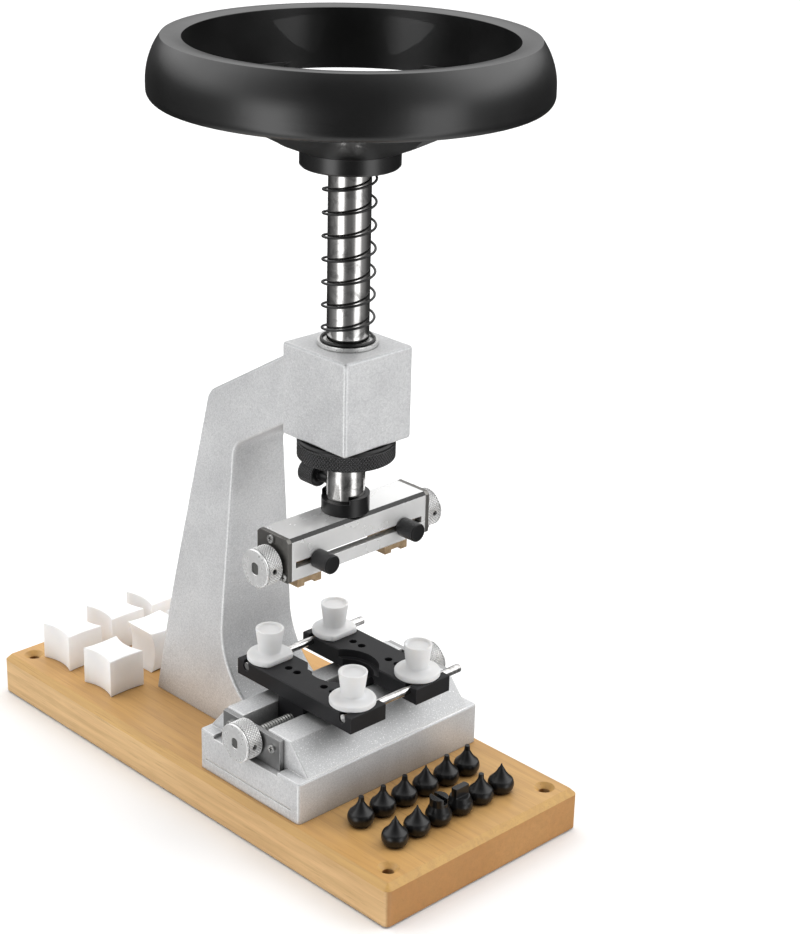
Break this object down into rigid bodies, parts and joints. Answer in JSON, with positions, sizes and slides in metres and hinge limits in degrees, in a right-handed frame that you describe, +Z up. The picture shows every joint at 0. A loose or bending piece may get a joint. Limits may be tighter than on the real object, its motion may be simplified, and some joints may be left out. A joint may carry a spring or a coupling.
{
  "type": "watch case opener",
  "caption": "Bench opener for screw-back watch cases: sprung spindle with handwheel and two-jaw holder over a peg vise, on a wooden board.",
  "frame": {"origin": "bottom centre of the wooden board, which is the bottom centre of the whole object", "axes": "+Z up, -Y to the user's side with the loose tips, +Y to the column's back, X along the travel of both pairs of jaws"},
  "size_m": [0.1674, 0.282, 0.3543],
  "materials": {
    "board_wood": "varnished birch, satin",
    "casting_paint": "silver-grey paint, fine grain, satin",
    "polished_steel": "polished",
    "nickel_steel": "nickel plated, polished",
    "plated_screw": "zinc plated",
    "spring_steel": "black oxide, oiled",
    "wheel_black": "satin moulded",
    "black_oxide": "black oxide",
    "brass": "machined",
    "knob_aluminium": "turned and knurled",
    "plate_steel": "brushed",
    "black_anodised": "black anodised, satin",
    "nylon": "white nylon, slightly translucent",
    "tip_black": "black, satin"
  },
  "bodies": {
    "frame": {"base_board": "board_wood", "frame_casting": "casting_paint", "frame_bolts": "plated_screw", "lower_spring_washer": "plated_screw", "return_spring": "spring_steel", "end_plate_left": "plate_steel", "end_plate_right": "plate_steel", "end_plate_screws": "plated_screw"},
    "spring_cap": {"upper_spring_washer": "spring_steel"},
    "spindle": {"spindle": "polished_steel", "handwheel": "wheel_black", "wheel_nut": "black_oxide"},
    "stop_ring": {"stop_ring": "black_oxide"},
    "lock_screw": {"lock_screw": "black_oxide"},
    "die_holder": {"holder_body": "nickel_steel", "holder_plate_left": "nickel_steel", "holder_plate_right": "nickel_steel", "holder_screws": "plated_screw", "holder_shank": "black_oxide"},
    "upper_lead_screw": {"upper_lead_screw": "plated_screw", "upper_knob_left": "knob_aluminium", "upper_knob_right": "knob_aluminium", "upper_grub_screws": "black_oxide"},
    "brass_jaw_left": {"brass_jaw_left": "brass"},
    "brass_jaw_right": {"brass_jaw_right": "brass"},
    "clamp_screw_left": {"clamp_screw_left": "black_oxide"},
    "clamp_screw_right": {"clamp_screw_right": "black_oxide"},
    "vise_lead_screw": {"vise_lead_screw": "plated_screw", "vise_knob_left": "knob_aluminium", "vise_knob_right": "knob_aluminium", "vise_grub_screws": "black_oxide"},
    "jaw_left": {"jaw_plate_left": "black_anodised", "jaw_slide_left": "black_anodised", "jaw_screws_left": "plated_screw", "guide_pins": "polished_steel"},
    "jaw_right": {"jaw_plate_right": "black_anodised", "jaw_slide_right": "black_anodised", "jaw_screws_right": "plated_screw"},
    "peg_front_left": {"peg_front_left": "nylon"},
    "peg_front_right": {"peg_front_right": "nylon"},
    "peg_rear_left": {"peg_rear_left": "nylon"},
    "peg_rear_right": {"peg_rear_right": "nylon"},
    "tip_01": {"tip_01": "tip_black"},
    "tip_02": {"tip_02": "tip_black"},
    "tip_03": {"tip_03": "tip_black"},
    "tip_04": {"tip_04": "tip_black"},
    "tip_05": {"tip_05": "tip_black"},
    "tip_06": {"tip_06": "tip_black"},
    "tip_07": {"tip_07": "tip_black"},
    "tip_08": {"tip_08": "tip_black"},
    "tip_09": {"tip_09": "tip_black"},
    "tip_10": {"tip_10": "tip_black"},
    "tip_11": {"tip_11": "tip_black"},
    "tip_12": {"tip_12": "tip_black"},
    "rest_block_1": {"rest_block_1": "nylon"},
    "rest_block_2": {"rest_block_2": "nylon"},
    "rest_block_3": {"rest_block_3": "nylon"},
    "rest_block_4": {"rest_block_4": "nylon"},
    "rest_block_5": {"rest_block_5": "nylon"},
    "rest_block_6": {"rest_block_6": "nylon"}
  },
  "joints": [
    {"name": "spindle_press", "type": "slide", "parent": "frame", "child": "spring_cap", "axis": [0, 0, -1], "range_m": [0, 0.034], "stiffness_N_per_m": 460, "springref_m": -0.04, "deforming": ["return_spring"]},
    {"name": "spindle_turn", "type": "hinge", "parent": "spring_cap", "child": "spindle", "pos_m": [0, -0.0473, 0.3007], "axis": [0, 0, 1], "continuous": true},
    {"name": "stop_ring_turn", "type": "hinge", "parent": "spindle", "child": "stop_ring", "pos_m": [0, -0.0473, 0.176], "axis": [0, 0, 1], "range_deg": [-360, 360]},
    {"name": "lock_screw_turn", "type": "hinge", "parent": "spindle", "child": "lock_screw", "pos_m": [0, -0.0258, 0.1565], "axis": [0, 1, 0], "range_deg": [0, 720]},
    {"name": "holder_release", "type": "slide", "parent": "spindle", "child": "die_holder", "axis": [0, 0, -1], "range_m": [0, 0.012]},
    {"name": "upper_screw_turn", "type": "hinge", "parent": "die_holder", "child": "upper_lead_screw", "pos_m": [0, -0.0473, 0.1324], "axis": [1, 0, 0], "range_deg": [-725, 3605]},
    {"name": "brass_jaw_left_slide", "type": "slide", "parent": "die_holder", "child": "brass_jaw_left", "axis": [1, 0, 0], "range_m": [-0.003, 0.015]},
    {"name": "brass_jaw_right_slide", "type": "slide", "parent": "die_holder", "child": "brass_jaw_right", "axis": [-1, 0, 0], "range_m": [-0.0031, 0.0151]},
    {"name": "clamp_screw_left_turn", "type": "hinge", "parent": "brass_jaw_left", "child": "clamp_screw_left", "pos_m": [-0.0257, -0.0606, 0.1331], "axis": [0, -1, 0], "range_deg": [0, 720]},
    {"name": "clamp_screw_right_turn", "type": "hinge", "parent": "brass_jaw_right", "child": "clamp_screw_right", "pos_m": [0.0257, -0.0606, 0.1331], "axis": [0, -1, 0], "range_deg": [0, 720]},
    {"name": "vise_screw_turn", "type": "hinge", "parent": "frame", "child": "vise_lead_screw", "pos_m": [0, -0.044, 0.049], "axis": [1, 0, 0], "range_deg": [-2885, 2165]},
    {"name": "jaw_left_slide", "type": "slide", "parent": "frame", "child": "jaw_left", "axis": [1, 0, 0], "range_m": [-0.012, 0.009]},
    {"name": "jaw_right_slide", "type": "slide", "parent": "frame", "child": "jaw_right", "axis": [-1, 0, 0], "range_m": [-0.0121, 0.0091]},
    {"name": "peg_front_left_lift", "type": "slide", "parent": "jaw_left", "child": "peg_front_left", "axis": [0, 0, 1], "range_m": [0, 0.0065]},
    {"name": "peg_front_right_lift", "type": "slide", "parent": "jaw_right", "child": "peg_front_right", "axis": [0, 0, 1], "range_m": [0, 0.0065]},
    {"name": "peg_rear_left_lift", "type": "slide", "parent": "jaw_left", "child": "peg_rear_left", "axis": [0, 0, 1], "range_m": [0, 0.0065]},
    {"name": "peg_rear_right_lift", "type": "slide", "parent": "jaw_right", "child": "peg_rear_right", "axis": [0, 0, 1], "range_m": [0, 0.0065]},
    {"name": "tip_01_lift", "type": "slide", "parent": "frame", "child": "tip_01", "axis": [0, 0, 1], "range_m": [0, 0.008]},
    {"name": "tip_02_lift", "type": "slide", "parent": "frame", "child": "tip_02", "axis": [0, 0, 1], "range_m": [0, 0.008]},
    {"name": "tip_03_lift", "type": "slide", "parent": "frame", "child": "tip_03", "axis": [0, 0, 1], "range_m": [0, 0.008]},
    {"name": "tip_04_lift", "type": "slide", "parent": "frame", "child": "tip_04", "axis": [0, 0, 1], "range_m": [0, 0.008]},
    {"name": "tip_05_lift", "type": "slide", "parent": "frame", "child": "tip_05", "axis": [0, 0, 1], "range_m": [0, 0.008]},
    {"name": "tip_06_lift", "type": "slide", "parent": "frame", "child": "tip_06", "axis": [0, 0, 1], "range_m": [0, 0.008]},
    {"name": "tip_07_lift", "type": "slide", "parent": "frame", "child": "tip_07", "axis": [0, 0, 1], "range_m": [0, 0.008]},
    {"name": "tip_08_lift", "type": "slide", "parent": "frame", "child": "tip_08", "axis": [0, 0, 1], "range_m": [0, 0.008]},
    {"name": "tip_09_lift", "type": "slide", "parent": "frame", "child": "tip_09", "axis": [0, 0, 1], "range_m": [0, 0.008]},
    {"name": "tip_10_lift", "type": "slide", "parent": "frame", "child": "tip_10", "axis": [0, 0, 1], "range_m": [0, 0.008]},
    {"name": "tip_11_lift", "type": "slide", "parent": "frame", "child": "tip_11", "axis": [0, 0, 1], "range_m": [0, 0.008]},
    {"name": "tip_12_lift", "type": "slide", "parent": "frame", "child": "tip_12", "axis": [0, 0, 1], "range_m": [0, 0.008]},
    {"name": "rest_block_1_lift", "type": "slide", "parent": "frame", "child": "rest_block_1", "axis": [0, 0, 1], "range_m": [0, 0.03]},
    {"name": "rest_block_2_lift", "type": "slide", "parent": "frame", "child": "rest_block_2", "axis": [0, 0, 1], "range_m": [0, 0.03]},
    {"name": "rest_block_3_lift", "type": "slide", "parent": "frame", "child": "rest_block_3", "axis": [0, 0, 1], "range_m": [0, 0.03]},
    {"name": "rest_block_4_lift", "type": "slide", "parent": "frame", "child": "rest_block_4", "axis": [0, 0, 1], "range_m": [0, 0.03]},
    {"name": "rest_block_5_lift", "type": "slide", "parent": "frame", "child": "rest_block_5", "axis": [0, 0, 1], "range_m": [0, 0.03]},
    {"name": "rest_block_6_lift", "type": "slide", "parent": "frame", "child": "rest_block_6", "axis": [0, 0, 1], "range_m": [0, 0.03]}
  ],
  "couplings": [
    {"joint": "upper_screw_turn", "follows": "brass_jaw_left_slide", "rad_per_m": 4188.8},
    {"joint": "brass_jaw_right_slide", "follows": "brass_jaw_left_slide", "ratio": 1},
    {"joint": "vise_screw_turn", "follows": "jaw_left_slide", "rad_per_m": 4188.8},
    {"joint": "jaw_right_slide", "follows": "jaw_left_slide", "ratio": 1}
  ]
}
